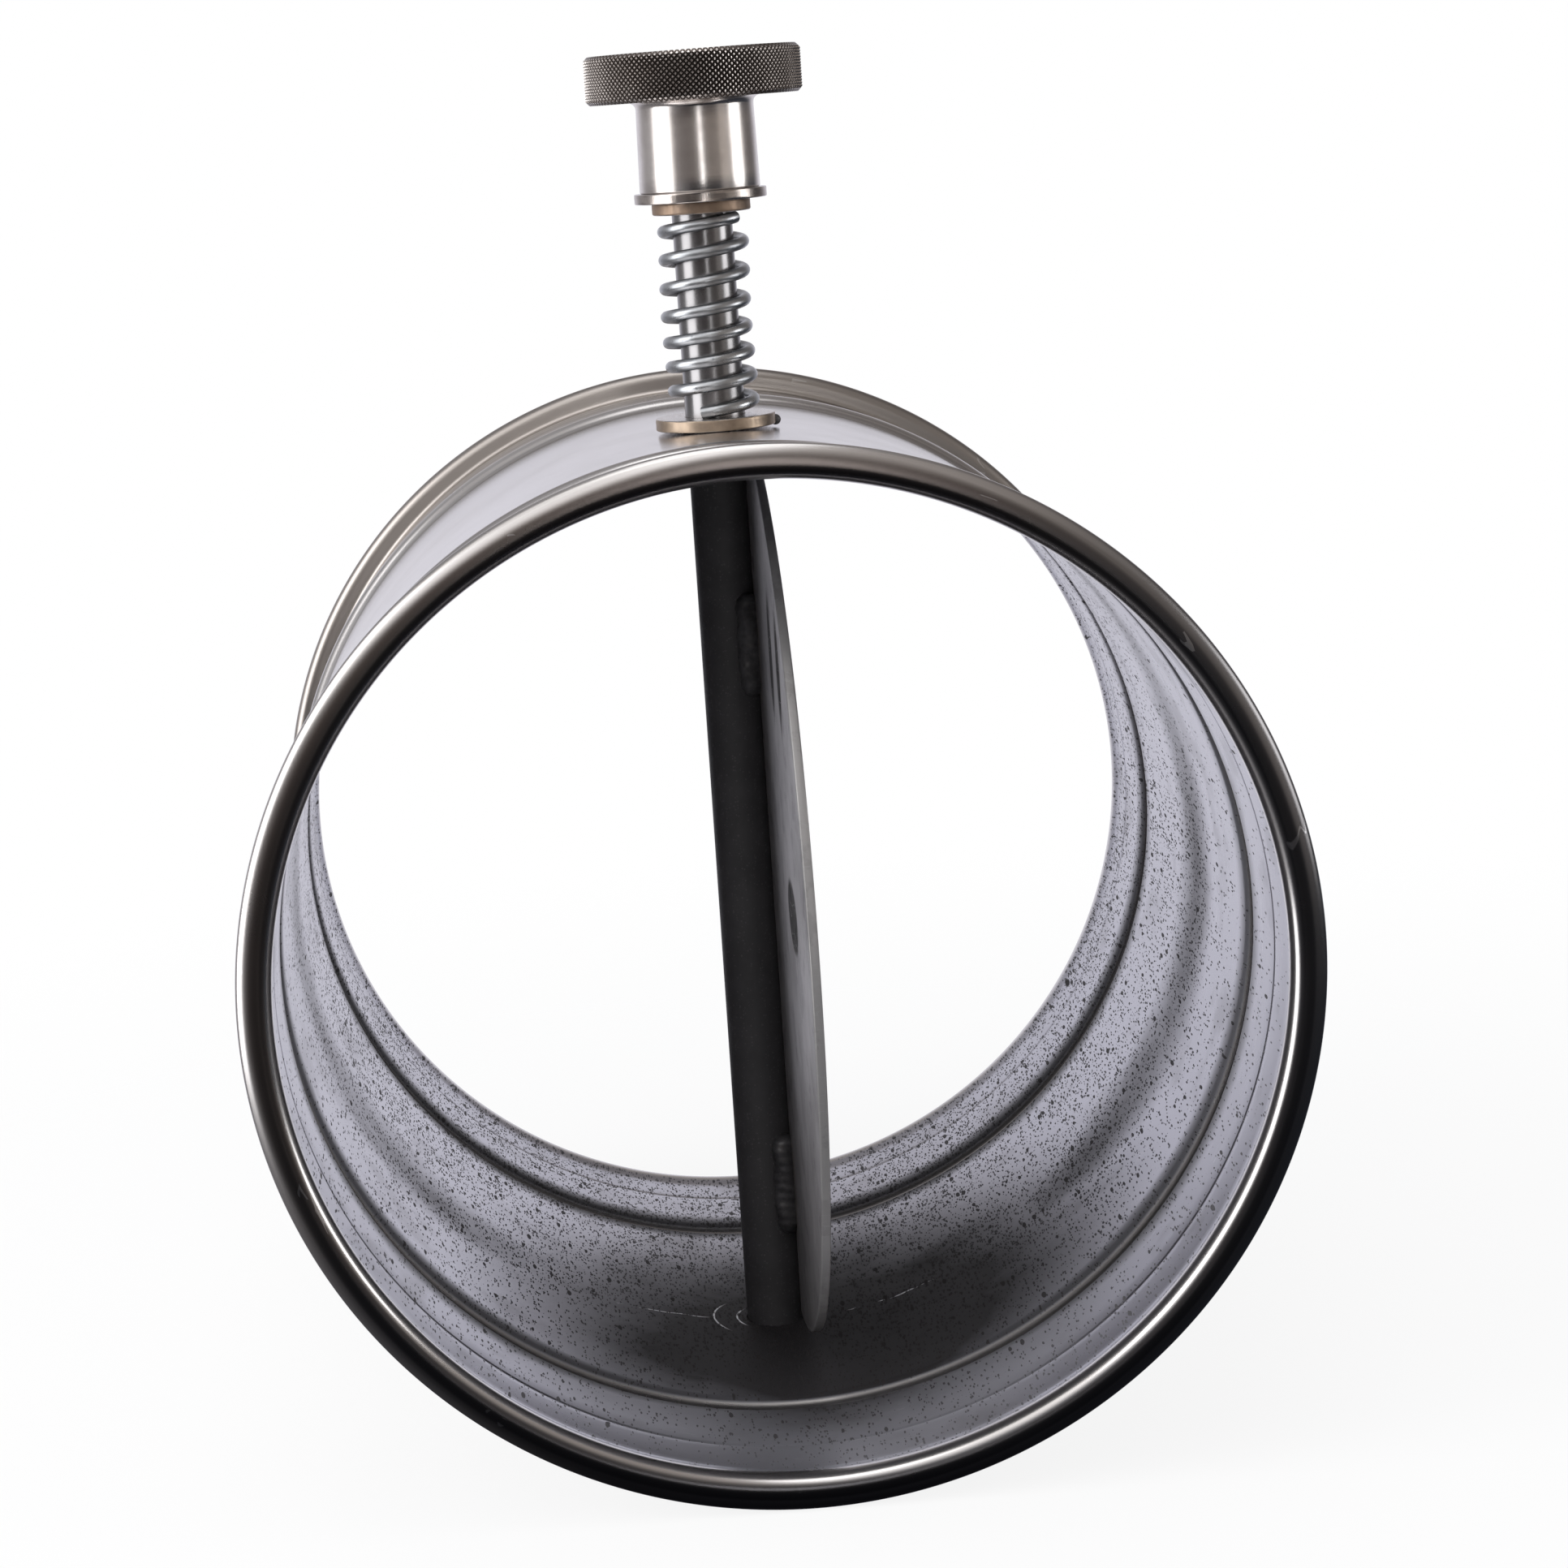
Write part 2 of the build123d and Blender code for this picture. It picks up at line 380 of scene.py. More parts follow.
@effect("Color", Heat=0.0, Steel=(0.5, 0.5, 0.5, 1))
def heat(level, steel):
    """Heat colours beside a weld: bare steel, then straw, brown and blue-grey as the mask rises to 1."""
    straw = level.ramp(0.1, 0.4).blend(steel, (0.20, 0.185, 0.17))
    brown = level.ramp(0.4, 0.65).blend(straw, (0.085, 0.078, 0.076))
    return level.ramp(0.7, 0.95).blend(brown, (0.055, 0.057, 0.064))


class Finish:
    """A new material, with its Object coordinates as a wire."""

    def __init__(self, name, **sockets):
        self.material = bpy.data.materials.new(name)
        self.material.use_nodes = True
        self.tree = self.material.node_tree
        self.place = self.start("ShaderNodeTexCoord", "Object")
        self.feed(**sockets)

    def start(self, kind, output, **settings):
        """The output of a new node that takes nothing in."""
        return Wire(add(self.tree, kind, **settings), output)

    def feed(self, **sockets):
        """Sets or links the shader's sockets, each named with _ in place of a space."""
        shader = self.tree.nodes["Principled BSDF"]
        for name, value in sockets.items():
            put(self.tree, shader.inputs[name.replace("_", " ")], value)

    def bump(self, height, distance, strength):
        """Feeds a height to the shader's Normal through a Bump node."""
        sockets = {"Height": height, "Distance": distance, "Strength": strength}
        self.feed(Normal=height.into("ShaderNodeBump", sockets))


def near(place, point, reach, stretch=(1.0, 1.0, 1.0), core=0.0):
    """A mask of 1 within a core round a point that falls to 0 at a reach, with each direction
    stretched."""
    return ((place - point) * stretch).length().ramp(core, reach, 1.0, 0.0)


def foot_scratches(place):
    """Bright scratches in the bore at the shaft's foot: two short arcs that a washer has cut on one side,
    and a broken line round the bore on both sides."""
    offset = place - (0, shaft_y, 0)
    x, y, z = offset.parts()
    reach = (offset * (1.0, 1.0, 0.0)).length()
    facing = abs(y.calc("ARCTAN2", x * -1.0)).ramp(0.35, 0.75, 1.0, 0.0)
    inner, outer = (abs(reach - r).ramp(0.05 * MM, 0.24 * MM, 1.0, 0.0) for r in scratch_radii)
    arcs = inner.most(outer) * facing
    wavy = place.noise(60.0, 2.0) * (9 * MM) + y
    line_mark = abs(wavy - 3 * MM).ramp(0.08 * MM, 0.3 * MM, 1.0, 0.0)
    span = abs(x).ramp(11 * MM, 14 * MM) * abs(x).ramp(30 * MM, 24 * MM)
    line_mark = line_mark * span * cloud(place, Scale=350.0, Low=0.45, High=0.55)
    at_foot = z.ramp(bore_bottom + 16 * MM, bore_bottom + 8 * MM)
    inside = z.ramp(axis_height - wall_radius + 0.2 * MM, bore_bottom - 0.3 * MM)
    return arcs.most(line_mark * 0.8) * at_foot * inside


def duct_finish():
    """Stainless sheet, satin inside and brighter outside: handling marks, scratches round the bore, and
    grinding dust that has settled inside, thicker towards the rear and in a band half-way along. Inside,
    painted shade: the bore is darker towards the bottom, and a dark band half-way along, a dark patch round
    the shaft's foot and dark sheet beside the inner ribs stand in for the shade and dark reflections there.
    The front bead is painted dark on its face, and at the right and below, as painted shade."""
    made = Finish("duct_steel", Specular_IOR_Level=0.2)
    place = made.place
    across, along, up = place.parts()
    height = up - axis_height
    radius = (across * across + height * height).calc("SQRT")
    from_middle = abs(along)
    inside = radius.ramp(wall_radius - 0.2 * MM, bore_radius + 0.3 * MM)
    outside = 1.0 - inside
    lip = from_middle.ramp(half_length - 4.5 * MM, half_length - 3 * MM)
    walls = inside * (1.0 - lip)
    ribbed = from_middle.ramp(38 * MM, 42 * MM) * outside
    # how low, how far back, and how near the middle and the foot of the shaft
    low = height.ramp(45 * MM, -75 * MM)
    rear = along.ramp(-70 * MM, 70 * MM)
    wander = cloud(place, Scale=30.0, Low=0.3, High=0.7)
    # painted shade: the band half-way along, the patch round the shaft's foot and the sheet beside the inner
    # ribs are darkened below, standing in for the shade and dark reflections in the bore; the band also
    # thickens the dust
    band = abs(along - band_middle).ramp(1 * MM, band_reach, 1.0, 0.0)
    band = band * (low * 0.55 + 0.35) * (wander * 0.4 + 0.65) * across.ramp(-70 * MM, 30 * MM, 0.62, 1.0)
    foot = near(place, (6 * MM, shaft_y - 14 * MM, bore_bottom), foot_shade_reach, core=6 * MM)
    foot = (foot * (wander * 0.4 + 1.2)).clipped()
    groove = abs(from_middle - (half_length - rib_from_end)).ramp(2 * MM, 8.5 * MM, 1.0, 0.0)
    groove = groove * (low * 0.75 + 0.15)
    painted_shade = (band * 0.8).most(foot.most(groove)) * walls
    # grains, drawn out along the duct
    longer = place * (1.0, 0.3, 1.0)
    spread = rear * (low * 0.5 + 0.35) + (low * 0.28 + 0.03)
    spread = band * 0.35 + spread * (wander * 0.7 + 0.5)
    dust = speckle(longer, Scale=3000.0, Amount=spread, Size=0.7)
    grains = speckle(longer, Scale=1100.0, Amount=spread * 0.35, Size=0.5)
    spots = speckle(longer, Scale=230.0, Amount=0.035, Size=0.2)
    dirt = (dust * 0.75).most(grains * 0.85).most(spots) * walls
    # steel inside, painted darker towards the bottom as painted shade, and outside with rolled lines by the
    # ribs and a dull rear lip
    rubbed = cloud(place, Scale=70.0, Low=0.5, High=0.7)
    inner = low.blend((0.49, 0.49, 0.54), (0.43, 0.43, 0.48))
    inner = (rubbed * 0.3).blend(inner, (0.25, 0.245, 0.255))
    rolled = place * (14.0, 1500.0, 14.0)
    haze = cloud(place, Scale=16.0, Low=0.35, High=0.75)
    dull_rear = along.ramp(half_length - 7 * MM, half_length - 4 * MM) * outside
    streak = rolled.noise(0.6, 3.0).ramp(0.35, 0.65) * ribbed.most(dull_rear)
    outer = haze.blend((0.66, 0.645, 0.645), (0.55, 0.535, 0.53))
    outer = dull_rear.blend(outer, (0.42, 0.39, 0.37))
    outer = (streak * 0.6).blend(outer, (0.25, 0.235, 0.225))
    # painted shade: the front bead's face is painted dark brown, and at the right and below dark blue-grey
    # over the whole bead, standing in for the dark room it mirrors
    shade_low_right = height.ramp(5 * MM, -55 * MM).most(across.ramp(15 * MM, 70 * MM))
    bead_face_shade = radius.ramp(lip_radius - 0.7 * MM, lip_radius - 2.4 * MM).most(shade_low_right * 0.8)
    bead_face_shade = bead_face_shade * radius.ramp(bore_radius, bore_radius + 0.9 * MM) * lip * along.ramp(0.0, -10 * MM)
    bead_shade_colour = shade_low_right.blend((0.15, 0.128, 0.118), (0.062, 0.062, 0.07))
    outer = (bead_face_shade * 0.92).blend(outer, bead_shade_colour)
    steel = walls.blend(outer, inner)
    marks = scratches(place, Stretch=(22.0, 420.0, 22.0), Width=0.004, Amount=0.4)
    steel = (marks * 0.3).blend(steel, (0.75, 0.75, 0.78))
    # painted shade in the bore: near-black where the three masks above lie, and less metallic and rougher
    # there
    steel = painted_shade.blend(steel, (0.03, 0.028, 0.03))
    steel = foot_scratches(place).blend(steel, (0.95, 0.95, 0.98))
    steel = dirt.blend(steel, (0.04, 0.036, 0.036))
    rough = walls * 0.05 + (haze * 0.05 + 0.21)
    rough = rubbed * walls * 0.05 + rough
    rough = dull_rear * 0.08 + (ribbed * 0.05 + rough)
    rough = dirt * 0.4 + (painted_shade * 0.36 + rough)
    made.feed(Base_Color=steel, Metallic=1.0 - painted_shade.most(dirt), Roughness=rough)
    made.bump(dirt * 4.0 + rolled.noise(1.0, 2.0) * 0.3, 0.006 * MM, 0.3)
    return made.material


def washer_finish(name, steel_colour, edge_reflection_colour, edge_roughness=0.16):
    """Cut washer: polished flat faces, and a coarser edge with streaks from the shear, painted brownish as a
    painted reflection of a brown floor.
    """
    made = Finish(name, Metallic=1.0)
    centred = made.place - (0, shaft_y, 0)
    side = abs(made.start("ShaderNodeNewGeometry", "Normal").parts()[2]).ramp(0.9, 0.4)
    streaks = (centred * (1500.0, 1500.0, 260.0)).noise(1.0, 4.0)
    patches = cloud(made.place, Scale=210.0, Low=0.35, High=0.7)
    # painted reflection: the edge takes the given edge colour, darker in patches, for the brown it mirrors
    edge = patches.blend(edge_reflection_colour, tuple(c * 0.55 for c in edge_reflection_colour))
    colour = (side * 0.85).blend(steel_colour, edge)
    rough = streaks * (1.5 * edge_roughness) + (side * edge_roughness + 0.14)
    made.feed(Base_Color=colour, Roughness=rough)
    rings = turning(centred, Across=5000.0, Along=3000.0, Around=1.0)
    made.bump(streaks * side * 2.0 + rings, 0.012 * MM, 0.6)
    return made.material


def weld_finish():
    """Welded seam metal: dull grey, with darker scale in patches and fine pits."""
    made = Finish("weld_metal", Metallic=0.5)
    scale = cloud(made.place, Scale=420.0, Low=0.35, High=0.65)
    colour = scale.blend((0.085, 0.083, 0.086), (0.05, 0.048, 0.051))
    made.feed(Base_Color=colour, Roughness=scale * 0.3 + 0.3)
    made.bump(made.place.noise(3000.0, 4.0), 0.05 * MM, 0.6)
    return made.material


def weld_heat(place):
    """How hot the steel got: 1 at the welds and 0 at a distance, with a broken outline."""
    hottest = None
    for node in weld_nodes:
        low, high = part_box(node)
        middle = tuple((a + b) / 2 for a, b in zip(low, high))
        mask = near(place, middle, 11 * MM, (1.0, 1.0, 0.6))
        hottest = mask if hottest is None else hottest.most(mask)
    return (hottest * (place.noise(260.0, 3.0) * 1.5 + 0.1)).clipped()


def shaft_finish():
    """Drawn bright bar: polished above the duct, matt and dusty inside it, with darkened steel at the
    welds."""
    made = Finish("shaft_steel")
    place = made.place
    bore_top = axis_height + bore_radius
    within = place.parts()[2].ramp(bore_top + 2 * MM, bore_top - 3 * MM)
    patches = cloud(place, Scale=150.0, Low=0.3, High=0.7)
    dull = patches.blend((0.054, 0.052, 0.055), (0.042, 0.0405, 0.043))
    steel = within.blend((0.25, 0.245, 0.25), dull)
    steel = (weld_heat(place) * 0.8 * within).blend(steel, (0.05, 0.048, 0.05))
    dust = speckle(place, Scale=2600.0, Amount=within * 0.5, Size=0.5)
    steel = (dust * 0.45).blend(steel, (0.11, 0.108, 0.11))
    rough = patches * 0.06 + (within * 0.3 + 0.22)
    made.feed(Base_Color=steel, Metallic=within.ramp(0.0, 1.0, 1.0, 0.25), Roughness=rough)
    drawn = (place - (0, shaft_y, 0)) * (2600.0, 2600.0, 25.0)
    made.bump(drawn.noise(1.0, 3.0), 0.008 * MM, 0.4)
    return made.material


def blade_finish():
    """Dull mill-finish sheet: cloudy grey, brown and blue heat marks at the welds, smears, dark stains on
    the side of the flat, stray scratches, and a brighter rim where the edge was trimmed."""
    made = Finish("blade_steel", Specular_IOR_Level=0.1)
    place = made.place
    centre = ((blade_low[0] + blade_high[0]) / 2, shaft_y, axis_height)
    distance = ((place - centre) * (0.0, 1.0, 1.0)).length()
    rim = distance.ramp(blade_radius - 1.2 * MM, blade_radius - 0.2 * MM)
    patches = cloud(place, Scale=55.0, Low=0.3, High=0.72)
    smears = cloud(place, Scale=140.0, Low=0.56, High=0.62)
    steel = patches.blend((0.29, 0.28, 0.285), (0.22, 0.212, 0.217))
    steel = (smears * 0.55).blend(steel, (0.12, 0.112, 0.12))
    steel = heat(weld_heat(place) * 0.6, Steel=steel)
    stain = near(place, (flat_face, *stain_place), 6.5 * MM, (1.0, 0.7, 1.0), 5 * MM)
    for stroke in stroke_places:
        stain = stain.most(near(place, (flat_face, *stroke), 5.5 * MM, (1.0, 1.3, 0.45), 2.5 * MM))
    stain = stain * (smears * 0.15 + 0.85)
    steel = stain.blend(steel, (0.03, 0.029, 0.03))
    marks = scratches(place, Stretch=(200.0, 90.0, 340.0), Width=0.01, Amount=0.5)
    steel = (marks * 0.35).blend(steel, (0.32, 0.32, 0.33))
    steel = (rim * 0.5).blend(steel, (0.34, 0.335, 0.33))
    rough = stain * 0.4 + (patches * 0.16 + 0.34)
    made.feed(Base_Color=steel, Metallic=stain * -0.55 + 0.55, Roughness=rough)
    made.bump((place * (900.0, 900.0, 60.0)).noise(1.0, 4.0), 0.015 * MM, 0.5)
    return made.material


def wire_finish():
    """Zinc-plated spring wire: bluish grey, satin, with faint draw lines and dull patches."""
    made = Finish("spring_wire", Metallic=1.0)
    patches = cloud(made.place, Scale=240.0, Low=0.3, High=0.7)
    zinc = patches.blend((0.44, 0.455, 0.475), (0.34, 0.355, 0.375))
    specks = speckle(made.place, Scale=1300.0, Amount=0.18, Size=0.4)
    zinc = (specks * 0.5).blend(zinc, (0.14, 0.15, 0.165))
    made.feed(Base_Color=zinc, Roughness=patches * 0.12 + 0.26)
    around = made.start("ShaderNodeAttribute", "Fac", attribute_name="round_wire")
    along = made.start("ShaderNodeAttribute", "Fac", attribute_name="along_wire")
    drawn = around.into("ShaderNodeCombineXYZ", {0: around * 60.0, 1: along * 30.0})
    made.bump(drawn.noise(1.0, 3.0), 0.02 * MM, 0.5)
    return made.material


def nut_finish():
    """Turned and polished bar: fine rings, bright tips on the knurl left by wear, and brown grime between
    them that is partly painted shade in the grooves.
    """
    made = Finish("polished_steel", Metallic=1.0)
    depth = made.start("ShaderNodeAttribute", "Fac", attribute_name="knurl_depth")
    patches = cloud(made.place, Scale=130.0, Low=0.3, High=0.75)
    # partly painted shade: the knurl's grooves darken as they deepen, for grime and for the shade that falls
    # in them
    groove_grime_and_shade = depth.ramp(0.12, 0.66) * (patches * 0.1 + 0.88)
    steel = patches.blend((0.68, 0.645, 0.625), (0.56, 0.52, 0.50))
    steel = groove_grime_and_shade.blend(steel, (0.068, 0.053, 0.046))
    rings = turning(made.place - (0, shaft_y, 0), Across=4000.0, Along=4000.0, Around=0.6)
    rough = groove_grime_and_shade * 0.3 + (rings * 0.1 + (patches * 0.05 + 0.16))
    made.feed(Base_Color=steel, Roughness=rough)
    made.bump(rings, 0.006 * MM, 0.6)
    return made.material


duct_steel = duct_finish()
# the third colour of each washer finish is a painted reflection on its edge
washer_steel = washer_finish("washer_steel", (0.50, 0.47, 0.45), (0.36, 0.27, 0.19))
seat_steel = washer_finish("seat_steel", (0.48, 0.44, 0.42), (0.34, 0.235, 0.16), 0.22)
clamp_steel = washer_finish("clamp_steel", (0.55, 0.53, 0.52), (0.47, 0.42, 0.39), 0.05)
weld_metal = weld_finish()
shaft_steel = shaft_finish()
blade_steel = blade_finish()
spring_wire = wire_finish()
polished_steel = nut_finish()
# the third colour is a painted reflection on the clip's edge
clip_steel = washer_finish("clip_steel", (0.34, 0.33, 0.33), (0.28, 0.26, 0.25))


# ---- duct
def rib(radius):
    """The swell of a rib at one face of the wall: three tangent arcs, from -Y to +Y."""
    quarter = rib_width / 4
    rise = rib_height / 2
    bend = (quarter**2 + rise**2) / (2 * rise)
    sweep = math.degrees(math.asin(quarter / bend))
    steps = 6
    first = arc((radius + bend, 0), bend, 180, 180 - sweep, steps)
    first[:, 1] = -2 * quarter + np.abs(first[:, 1])
    crest = arc((radius + rib_height - bend, 0), bend, -sweep, sweep, 2 * steps)
    last = arc((radius + bend, 0), bend, 180 - sweep, 180, steps)
    last[:, 1] = 2 * quarter - np.abs(last[:, 1])
    return np.concatenate([first[:-1], crest[:-1], last])


def duct_half_profile():
    """The front half of the section as (radius, y), from the middle of the bore round the lip to the
    middle of the outside: bore, rib, rolled groove (a raised cosine), mouth that opens on an arc, neck,
    bead of two ovals, half-round lip, flank, root, wall and rib."""
    mouth_end = neck_from_end - half_length
    mouth_start = mouth_length - half_length + mouth_edge_radius
    rib_middle = rib_from_end - half_length
    inner_rib = rib(bore_radius)[::-1] + (0, rib_middle)
    outer_rib = rib(wall_radius) + (0, rib_middle)
    face_radius = lip_radius - lip_shoulder
    bead_radius = bore_radius - bead_inside
    lip_middle = lip_thickness / 2 - half_length
    flank = lip_thickness - half_length
    t = np.linspace(0, 1, 9)
    groove_radius = bore_radius + roll_groove_depth * (0.5 - 0.5 * np.cos(2 * np.pi * t))
    groove = np.stack([groove_radius, mouth_start + roll_groove_width * (1 - t)], -1)[:-1]
    flare = (mouth_start - mouth_end) / math.sin(mouth_turn)
    mouth = arc((bore_radius + flare, mouth_start), flare, 180, 180 + math.degrees(mouth_turn), 8)
    t = np.linspace(0, 1, 10)[1:]
    neck_radius = mouth[-1, 0] + (bead_radius - mouth[-1, 0]) * (0.5 - 0.5 * np.cos(np.pi * t))
    neck = np.stack([neck_radius, mouth_end + (bead_crest - neck_from_end) * t], -1)
    bead = oval((face_radius, bead_crest - half_length), face_radius - bead_radius, bead_crest, 180, 270, 14)
    inner_side = np.concatenate(
        [
            inner_rib,
            line((bore_radius, inner_rib[-1, 1]), (bore_radius, mouth_start + roll_groove_width), 4)[1:],
            groove,
            mouth,
            neck,
            bead[1:],
        ]
    )
    lip = np.concatenate(
        [
            oval((face_radius, lip_middle), lip_shoulder, lip_thickness / 2, -90, 0, 14)[1:],
            arc((lip_radius - lip_thickness / 2, lip_middle), lip_thickness / 2, 0, 90, 8)[1:],
            line((lip_radius - lip_thickness / 2, flank), (wall_radius + lip_root_radius, flank), 2)[1:],
            arc((wall_radius + lip_root_radius, flank + lip_root_radius), lip_root_radius, -90, -180, 6),
            line((wall_radius, flank + lip_root_radius), (wall_radius, outer_rib[0, 1]), 4)[1:],
        ]
    )
    return inner_side, lip, outer_rib


def duct_shell():
    """The whole section carried round Y, with slow ripples in the wall and two upright holes for the
    shaft: x = r sin a, z = axis + r cos a. Points inside a hole are moved out to its rim, and the rims
    are joined."""
    inner_side, lip, outer_rib = duct_half_profile()
    barrel_y = np.concatenate(
        [
            np.linspace(inner_side[0, 1], shaft_y - hole_rows_reach, 9, endpoint=False),
            np.linspace(shaft_y - hole_rows_reach, shaft_y + hole_rows_reach, 17, endpoint=False),
            np.linspace(shaft_y + hole_rows_reach, -inner_side[0, 1], 9),
        ]
    )
    barrel = barrel_y[1:-1]
    count = len(barrel)
    back = (1, -1)
    parts = [
        np.stack([np.full(count, bore_radius), barrel[::-1]], -1),
        inner_side,
        lip,
        outer_rib,
        np.stack([np.full(count, wall_radius), barrel], -1),
        (outer_rib * back)[::-1],
        (lip * back)[::-1],
        (inner_side * back)[::-1],
    ]
    profile = np.concatenate(parts)
    outer_start = sum(len(p) for p in parts[:4])
    rows = len(profile)
    radius, y, a = swept(profile, around_duct)
    slow = np.sin(3 * a + 0.7) * np.sin(55 * y + 0.4) + 0.6 * np.sin(7 * a + 1.9) * np.sin(90 * y)
    quick_waves = 0.35 * np.sin(17 * a + 60 * y) * np.sin(11 * a + 2)
    calm = np.clip((half_length - 9 * MM - np.abs(y)) / (8 * MM), 0, 1)
    radius = radius + ripple * calm * (slow + quick_waves - 2)
    x, up = radius * np.sin(a), radius * np.cos(a)
    # holes: decided on the middle of the wall, so that the pattern is the same on both faces
    across = (bore_radius + wall_radius) / 2 * np.sin(a)
    from_shaft = np.hypot(across, y - shaft_y)
    barrel_rows = np.zeros((rows, 1), bool)
    barrel_rows[:count] = True
    barrel_rows[outer_start : outer_start + count] = True
    within = (from_shaft < shaft_hole_radius) & barrel_rows
    scale = np.where(within, shaft_hole_radius / np.maximum(from_shaft, 1e-9), 1.0)
    new_x = np.where(within, across * scale, x)
    new_y = np.where(within, shaft_y + (y - shaft_y) * scale, y)
    new_up = np.where(within, np.sign(up) * np.sqrt(np.maximum(radius**2 - new_x**2, 0)), up)
    points = np.stack([new_x, new_y, new_up + axis_height], -1)
    quads = grid_quads(rows, around_duct, close_rows=True)
    gone = within.ravel()[quads].all(axis=1)
    grid = gone.reshape(rows, around_duct)
    # rims: each edge between a removed cell and a kept one on the bore is joined to its twin outside
    bore_cells = grid[: count - 1]
    i, k = np.nonzero(bore_cells)
    rims = []
    for di, dk, first, second in (
        (1, 0, (1, 0), (1, 1)),
        (-1, 0, (0, 0), (0, 1)),
        (0, 1, (0, 1), (1, 1)),
        (0, -1, (0, 0), (1, 0)),
    ):
        edge = ~grid[(i + di) % rows, (k + dk) % around_duct]
        ei, ek = i[edge], k[edge]
        inner = [(ei + s[0]) * around_duct + (ek + s[1]) % around_duct for s in (first, second)]
        outer = [
            (outer_start + count - 1 - ei - s[0]) * around_duct + (ek + s[1]) % around_duct
            for s in (first, second)
        ]
        rims.append(np.stack([inner[0], inner[1], outer[1], outer[0]], -1))
    faces = np.concatenate([quads[~gone], *rims])
    used, faces = np.unique(faces, return_inverse=True)
    points = points.reshape(-1, 3)[used]
    return points, faces.reshape(-1, 4)


points, faces = duct_shell()
duct = piece("duct", points, faces, duct_steel, "duct", "duct_shell", smooth_to=28)


# ---- pad, tacks and washers
hole_in_pad = shaft_radius + 0.05 * MM
hole_in_washer = shaft_radius + 0.1 * MM
washer("pad_ring", "pad_washer", "duct", hole_in_pad, 0.25 * MM, 0.03 * MM, washer_steel)
for name, node, edge, burr, material, slot_name in (
    ("seat_ring", "spring_seat", 0.35 * MM, 0.03 * MM, seat_steel, "washer_steel"),
    ("clamp_ring", "clamp_washer", 0.2 * MM, 0.02 * MM, clamp_steel, "polished_steel"),
):
    washer(name, node, "washers", hole_in_washer, edge, burr, material)

# the small pieces that stay as packed, with a finish of their own
for name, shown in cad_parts.items():
    kept = {"foot_washer": washer_steel, "retaining_clip": clip_steel}.get(name)
    if name.startswith("pad_tack"):
        kept = weld_metal
    if kept is not None:
        shown.data.materials.clear()
        shown.data.materials.append(kept)


def weld_bead(node):
    """A weld laid down in drops: a round section carried up Z, whose radius is a half-ellipse at both
    ends and swells once for each drop, with every drop's front leaning as the pool froze."""
    low, high = (np.array(v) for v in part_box(node))
    steps, sides = 140, 28
    t = np.linspace(0, 1, steps)[:, None]
    a = around(sides)
    length = high[2] - low[2]
    full = 2.4 * MM
    end = np.clip(np.minimum(t, 1 - t) * length / full, 0, 1)
    drop = 0.5 + 0.5 * np.sin(2 * np.pi * (11 * t + 0.12 * np.cos(a)))
    lumps = 0.05 * np.sin(3 * a + 9 * t) + 0.04 * np.sin(23 * t + 2 * a)
    radius = full * np.sqrt(np.maximum(1 - (1 - end) ** 2, 0)) * (0.92 + 0.04 * drop + lumps)
    side = -1 if (low[1] + high[1]) / 2 < shaft_y else 1
    middle_x = flat_face - 1.2 * MM
    reach = 5.2 * MM
    middle_y = shaft_y + side * math.sqrt(reach**2 - middle_x**2)
    height = low[2] + t * length + 0 * a
    points = np.stack([middle_x + radius * np.cos(a), middle_y + radius * np.sin(a), height], -1)
    name = node.replace("weld", "bead")
    return piece(name, points, grid_quads(steps, sides), weld_metal, "blade_shaft", node)


for node in weld_nodes:
    weld_bead(node)


# ---- shaft
def shaft_bar():
    """A round bar carried up Z whose top has a screw thread: the radius falls by a triangle wave of
    height less turn, faded in over the first turn, and the side towards the blade is cut flat at a
    plane."""
    thread_start = shaft_high[2] - thread_length
    plain = np.linspace(shaft_low[2] + 0.4 * MM, thread_start, 60, endpoint=False)
    thread = np.linspace(thread_start, shaft_high[2] - 0.6 * MM, int(thread_length / thread_pitch * 10))
    height = np.concatenate([[shaft_low[2]], plain, thread, [shaft_high[2]]])
    base = np.full(len(height), shaft_radius)
    base[0] -= 0.4 * MM
    base[-1] -= 0.8 * MM
    flat_low = axis_height - blade_radius - 0.6 * MM
    flat_high = axis_height + blade_radius + 0.6 * MM
    groove_low, groove_high = (corner[2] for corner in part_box("retaining_clip"))
    step = 1e-6
    edges = [
        edge
        for low, high in ((flat_low, flat_high), (groove_low, groove_high))
        for edge in (low - step, low, high, high + step)
    ]
    height = np.concatenate([height, edges])
    base = np.concatenate([base, np.full(len(edges), shaft_radius)])
    order = np.argsort(height, kind="stable")
    height, base = height[order][:, None], base[order][:, None]
    in_groove = (height >= groove_low) & (height <= groove_high)
    base = np.where(in_groove, shaft_radius - clip_groove_depth, base)
    a = around(96)
    turn = ((height - thread_start) / thread_pitch - a / (2 * np.pi)) % 1.0
    groove_shape = np.clip(1.35 * (1 - np.abs(2 * turn - 1)) - 0.2, 0, 1)
    fade = np.clip((height - thread_start) / thread_pitch, 0, 1)
    radius = base - thread_depth * groove_shape * fade
    x, y = radius * np.cos(a), radius * np.sin(a)
    on_flat = (height >= flat_low) & (height <= flat_high)
    x = np.where(on_flat, np.minimum(x, flat_face), x)
    points = np.stack([x, y + shaft_y, height + 0 * a], -1)
    return capped(points, (0, shaft_y, height[0, 0]), (0, shaft_y, height[-1, 0]))


points, faces = shaft_bar()
piece("shaft_bar", points, faces, shaft_steel, "blade_shaft", "shaft")


